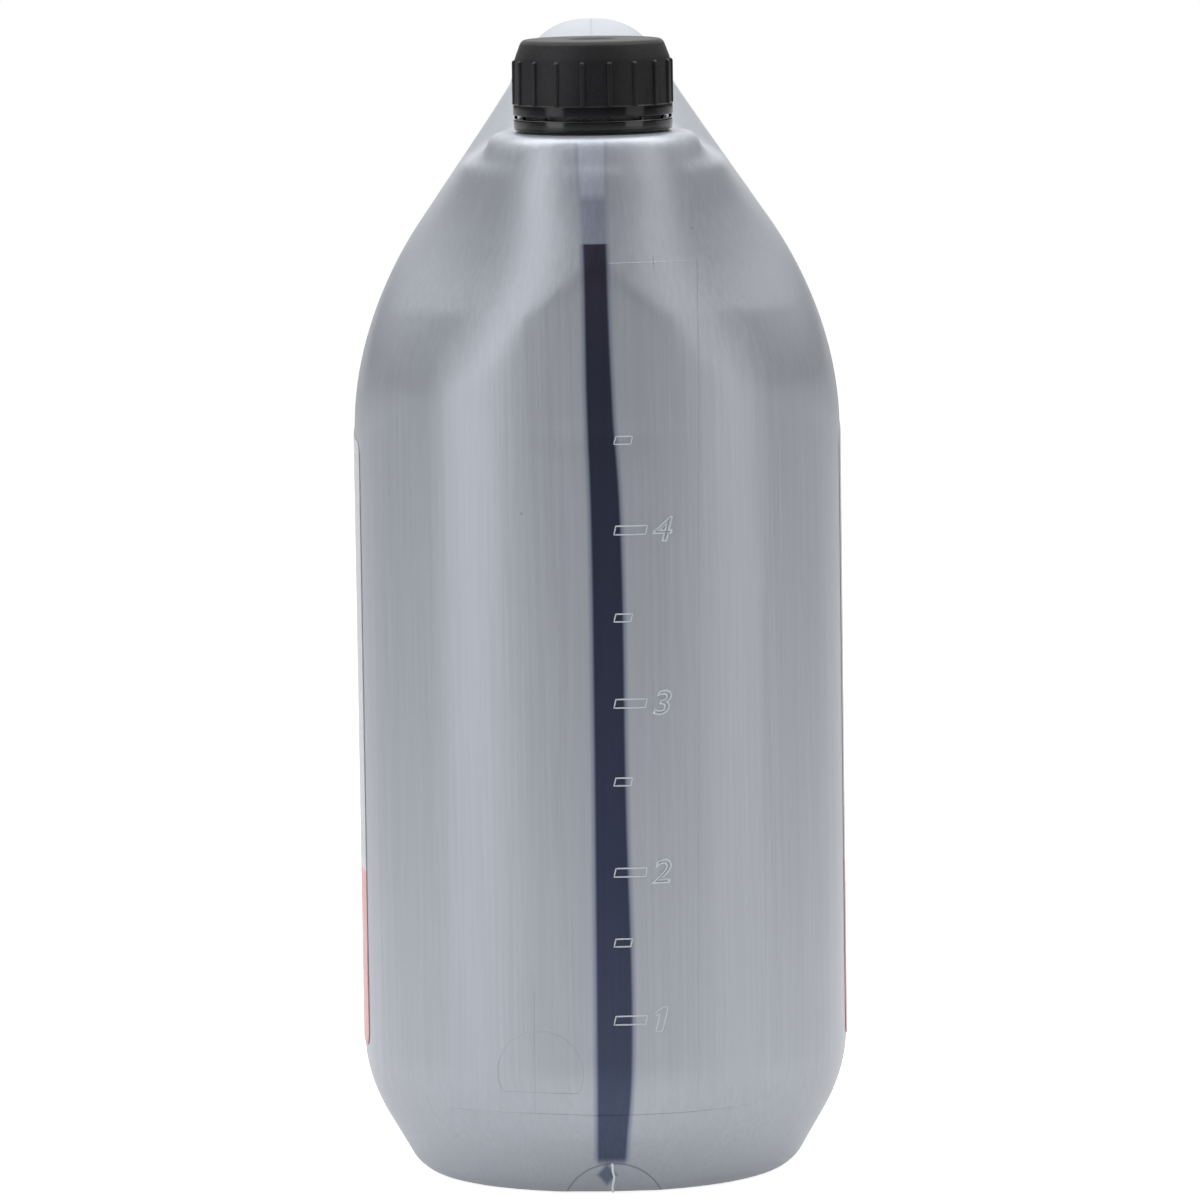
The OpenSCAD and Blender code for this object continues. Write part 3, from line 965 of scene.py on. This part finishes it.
class JUG_OT_labels(bpy.types.Operator):
    """Lay a thin plain label on each wide face"""
    bl_idname = "jug.labels"
    bl_label = "Labels"

    def execute(self, context):
        material = label_material()
        left = label_sheet("label_left", -1, FRONT_Y + 50)
        finish_piece(left, "jug", material, ["left_label"])
        right = label_sheet("label_right", 1, FRONT_Y + 58)
        finish_piece(right, "jug", material, ["right_label"])
        return {"FINISHED"}


# bead radii, in millimetres
DIGIT_R, TICK_R, PINCH_R, SEAM_R = 0.3, 0.22, 0.32, 0.24

# the litre scale: heights of the long and the short ticks, the digits, and the "1" as a loop
LITRE_Z = (176.0, 131.2, 87.3, 48.7)
HALF_LITRE_Z = (199.2, 153.4, 110.9, 69.0)
DIGIT_SIZE, DIGIT_WIDER, DIGIT_LEAN = 8.6, 1.12, 0.22
DIGITS = tuple(zip("432", LITRE_Z))
DIGIT_ONE = [(1.5, -3.1), (3.2, -3.1), (4.8, 3.2), (3.5, 3.2), (1.5, 1.9), (1.9, 1.0), (2.6, 1.4)]


def digit(text, x, z):
    """One outlined italic number, raised on the narrow front."""
    deselect()
    bpy.ops.object.text_add()
    obj = bpy.context.active_object
    curve = obj.data
    curve.body = text
    curve.size = DIGIT_SIZE * MM
    curve.shear = DIGIT_LEAN
    curve.fill_mode = "NONE"
    curve.bevel_depth = DIGIT_R * MM
    curve.bevel_resolution = 1
    bpy.ops.object.convert(target="MESH")
    obj = bpy.context.active_object
    flat = points_of(obj)
    px, pz = x + flat[:, 0] * DIGIT_WIDER, z + flat[:, 1]
    set_points(obj, np.stack([px, front_skin(px, pz) - flat[:, 2], pz], axis=1))
    return obj


def tick_x(z):
    """Where the ticks start at height z, along the scale's lean."""
    return 1.3 + z * 0.0137


class JUG_OT_scale(bpy.types.Operator):
    """Raise the litre scale, the mould's witness lines, the parting line and the pinched seam"""
    bl_idname = "jug.scale"
    bl_label = "Scale and mould lines"

    def execute(self, context):
        line = context.scene.jug_looks.line_height / MM
        marks = [digit(text, tick_x(z) + 9.6, z - 2.9) for text, z in DIGITS]
        loops = []
        for places, w, h in ((LITRE_Z, 8.1, 2.2), (HALF_LITRE_Z, 4.3, 2.0)):
            for z in places:
                x = tick_x(z)
                loops.append([(x, z - h / 2), (x + w, z - h / 2), (x + w + 0.5, z + h / 2),
                              (x + 0.5, z + h / 2)])
        loops.append([(x + 11.2, z + LITRE_Z[-1]) for x, z in DIGIT_ONE])
        beads = [surface_line(loop + loop[:1], step=0.8)[:-1] for loop in loops]
        marks.append(tube("ticks", beads, TICK_R, closed=True))
        scale = join("litre_scale", marks)
        smooth(scale)
        # the scale's colour is 1.4 times lighter than the body: a painted highlight on the raised
        # beads
        material = jug_material("scale_silver", stripe=False, lighter=1.4)
        finish_piece(scale, "jug", material)

        insert_r = 11.1
        insert = [(-17.3 + insert_r * math.sin(t), 34.8 + insert_r * math.cos(t))
                  for t in np.linspace(-2.06, 2.06, 30)]
        lines = [([(3.2, 244.6), (26.2, 244.4), (26.0, 208.0), (25.0, 120.0), (23.6, 24.0)], 3),
                 ([(14.8, 246.0), (14.9, 242.6)], 1.5),
                 ([(-41, 23.6), (-18, 23.9), (1, 23.5), (20, 23.5), (37, 23.8)], 2),
                 ([(-18.7, 56.0), (-18.8, 24.0)], 3),
                 (insert + insert[:1], 1)]
        witness = tube("witness_lines", [surface_line(*each) for each in lines], line)
        smooth(witness)
        # the lines' colour is 1.1 times lighter than the body: a painted highlight on the raised
        # lines, used again for the parting line
        finish_piece(witness, "jug", jug_material("line_silver", lighter=1.1))

        pinch = [(1.0, 9.6), (1.1, 7.2), (1.5, 5.6), (1.2, 3.9), (1.0, 2.2), (1.1, 0.6)]
        pinched = tube("pinched_seam", [surface_line(pinch, step=0.8)], PINCH_R)
        smooth(pinched)
        material = jug_material("seam_white", stripe=False, lighter=2.2)
        finish_piece(pinched, "jug", material)
        seam = tube("parting_line", [[(0.0, y, z) for y, z in parting_path()]], SEAM_R)
        smooth(seam)
        finish_piece(seam, "jug", bpy.data.materials["line_silver"])
        return {"FINISHED"}


def parting_path():
    """(y, z) points round the middle plane of the body, from the front slope over the back."""
    centre = np.array([[30.0], [140.0]])
    a = np.radians(np.linspace(-24, 172, 160))
    way = np.stack([np.sin(a), np.cos(a)])

    def is_out(r):
        y, z = centre + way * r
        return (outer_field(0 * y, y, z) > 0) | (z < 0)

    inside, _ = find_skin(0 * a, 0 * a + 220, is_out, 24)
    y, z = centre + way * inside
    shown = (z > 9) & ((y >= -40) | (z >= SHELF_Z + 2))
    return np.stack([y, z], axis=1)[shown]


class JUG_OT_solids(bpy.types.Operator):
    """Give the CAD's own liner and fluid their materials"""
    bl_idname = "jug.solids"
    bl_label = "Liner and fluid"

    def execute(self, context):
        for node, material in (("cap_liner", foam_material()), ("cutting_fluid", fluid_material())):
            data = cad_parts[node].data
            data.materials.clear()
            data.materials.append(material)
        return {"FINISHED"}


def lamp(name, place, target, power, size, colour=(1, 1, 1)):
    """An area lamp that the camera doesn't see, pointed at the target."""
    deselect()
    bpy.ops.object.light_add(type="AREA", location=place)
    obj = bpy.context.active_object
    obj.name = name
    obj.data.energy = power
    obj.data.color = colour
    obj.data.shape = "RECTANGLE"
    obj.data.size, obj.data.size_y = size
    obj.visible_camera = False
    obj.rotation_euler = (Vector(target) - Vector(place)).to_track_quat("-Z", "Y").to_euler()


def side_lamp(name, azimuth, power, size, colour):
    """A soft lamp beside the camera, turned in degrees from the line of sight."""
    distance, height = 1.25, 0.42
    c, s = turn(azimuth)
    lamp(name, (s * distance, -c * distance, height), (0, 0, 0.2), power, size, colour)


class JUG_OT_stage(bpy.types.Operator):
    """Set up the pale floor, the surround, the soft lamps and the camera"""
    bl_idname = "jug.stage"
    bl_label = "Stage"

    def execute(self, context):
        scene = context.scene
        levels = scene.light_levels
        scene.view_settings.view_transform = "Standard"

        deselect()
        bpy.ops.mesh.primitive_plane_add(size=8)
        floor = bpy.context.active_object
        floor.name = "floor"
        material = bpy.data.materials.new("floor_white")
        material.use_nodes = True
        material.node_tree.nodes.clear()
        n = Nodes(material.node_tree)
        path = n.add("ShaderNodeLightPath").outputs
        spot = n.add("ShaderNodeTexCoord").outputs["Object"]
        along = n.add("ShaderNodeSeparateXYZ", {0: spot}).outputs
        far = n.add("ShaderNodeVectorMath", {0: spot}, operation="LENGTH").outputs["Value"]
        shine = n.math("MAXIMUM", n.ramp(far, 0.25, 0.9, 0.5, 0.04),
                       n.ramp(along["Y"], 0.3, 0.9, 0.0, 0.5))
        mirrored = n.times(path["Is Glossy Ray"], shine)
        seen = n.math("MAXIMUM", path["Is Camera Ray"],
                      n.math("MAXIMUM", mirrored, path["Is Transmission Ray"]))
        shader = n.add("ShaderNodeBsdfPrincipled", {
            "Base Color": (0.86, 0.86, 0.86, 1), "Roughness": 0.9,
            "Emission Color": (1, 1, 1, 1), "Emission Strength": n.times(seen, 0.82)})
        n.add("ShaderNodeOutputMaterial", {"Surface": shader.outputs[0]})
        floor.data.materials.append(material)

        world = bpy.data.worlds.new("surround")
        scene.world = world
        world.use_nodes = True
        world.node_tree.nodes.clear()
        n = Nodes(world.node_tree)
        path = n.add("ShaderNodeLightPath").outputs
        seen = n.math("MAXIMUM", path["Is Camera Ray"], path["Is Transmission Ray"])
        looking = n.add("ShaderNodeTexCoord").outputs["Generated"]
        way = n.add("ShaderNodeSeparateXYZ", {0: looking}).outputs
        behind = n.ramp(way["Y"], 0.9, 1.0, levels.world * 0.6, 1.1)
        raised = n.times(n.ramp(way["Z"], 0.05, 0.4, 0.0, 0.85), n.ramp(way["Y"], 0.0, 0.5))
        behind = n.math("MAXIMUM", behind, raised)
        behind = n.plus(behind, n.ramp(way["Z"], 0.35, 0.8, 0.0, 0.5))
        strength = n.plus(n.times(seen, 1.0 - levels.world), levels.world)
        glossy = n.times(path["Is Glossy Ray"], n.minus(behind, levels.world))
        strength = n.plus(strength, glossy)
        back = n.add("ShaderNodeBackground", {"Color": (1, 1, 1, 1), "Strength": strength})
        n.add("ShaderNodeOutputWorld", {"Surface": back.outputs[0]})

        side_lamp("key_lamp", -55, levels.key, (0.6, 1.3), (0.98, 0.99, 1.0))
        side_lamp("fill_lamp", 60, levels.fill, (0.65, 1.3), (1.0, 0.98, 0.95))
        lamp("top_lamp", (0.0, 0.1, 1.35), (0, 0, 0.2), levels.top, (2.6, 0.9))
        lamp("back_lamp", (0.0, 1.5, 0.95), (0, 0, 0.25), levels.back, (1.8, 0.7))

        # the photograph's view: a long lens, a little above the cap, with a slight roll
        (yaw_c, yaw_s), (pitch_c, pitch_s), (roll_c, roll_s) = map(turn, (0.1719, 6.4836, -0.8246))
        distance, height, focal_px, frame_px, sensor = 2147.5, 398.1, 8275.4, 1200, 36
        forward = Vector((yaw_s * pitch_c, yaw_c * pitch_c, -pitch_s))
        right = Vector((yaw_c, -yaw_s, 0))
        up = right.cross(forward)
        right, up = right * roll_c + up * roll_s, up * roll_c - right * roll_s
        bpy.ops.object.camera_add()
        camera = bpy.context.active_object
        camera.name = "photo_camera"
        turned = Matrix((right, up, -forward)).transposed().to_4x4()
        turned.translation = Vector((-yaw_s * distance, NECK_Y - yaw_c * distance, height)) * MM
        camera.matrix_world = turned
        camera.data.sensor_width = sensor
        camera.data.lens = focal_px * sensor / frame_px
        camera.data.clip_start = 0.1
        scene.camera = camera
        return {"FINISHED"}


class JUG_PT_panel(bpy.types.Panel):
    """The jug's values and building steps in the sidebar"""
    bl_idname = "JUG_PT_panel"
    bl_label = "Cutting fluid jug"
    bl_space_type = "VIEW_3D"
    bl_region_type = "UI"
    bl_category = "Jug"

    def draw(self, context):
        scene = context.scene
        for settings in (scene.jug_looks, scene.cap_sizes, scene.light_levels):
            for name in settings.__annotations__:
                self.layout.prop(settings, name)
        for operator in OPERATORS:
            self.layout.operator(operator.bl_idname)


OPERATORS = (JUG_OT_body, JUG_OT_neck, JUG_OT_cap, JUG_OT_ring, JUG_OT_labels, JUG_OT_scale,
             JUG_OT_solids, JUG_OT_stage)
SETTINGS = (("jug_looks", JugLooks), ("cap_sizes", CapSizes), ("light_levels", LightLevels))


def register():
    for name, kind in SETTINGS:
        bpy.utils.register_class(kind)
        setattr(bpy.types.Scene, name, PointerProperty(type=kind))
    for kind in OPERATORS + (JUG_PT_panel,):
        bpy.utils.register_class(kind)


def unregister():
    for kind in (JUG_PT_panel,) + OPERATORS[::-1]:
        bpy.utils.unregister_class(kind)
    for name, kind in SETTINGS[::-1]:
        delattr(bpy.types.Scene, name)
        bpy.utils.unregister_class(kind)


def main():
    register()
    bpy.ops.jug.body()
    bpy.ops.jug.neck()
    bpy.ops.jug.cap()
    bpy.ops.jug.ring()
    bpy.ops.jug.labels()
    bpy.ops.jug.scale()
    bpy.ops.jug.solids()
    bpy.ops.jug.stage()


if __name__ == "__main__":
    main()
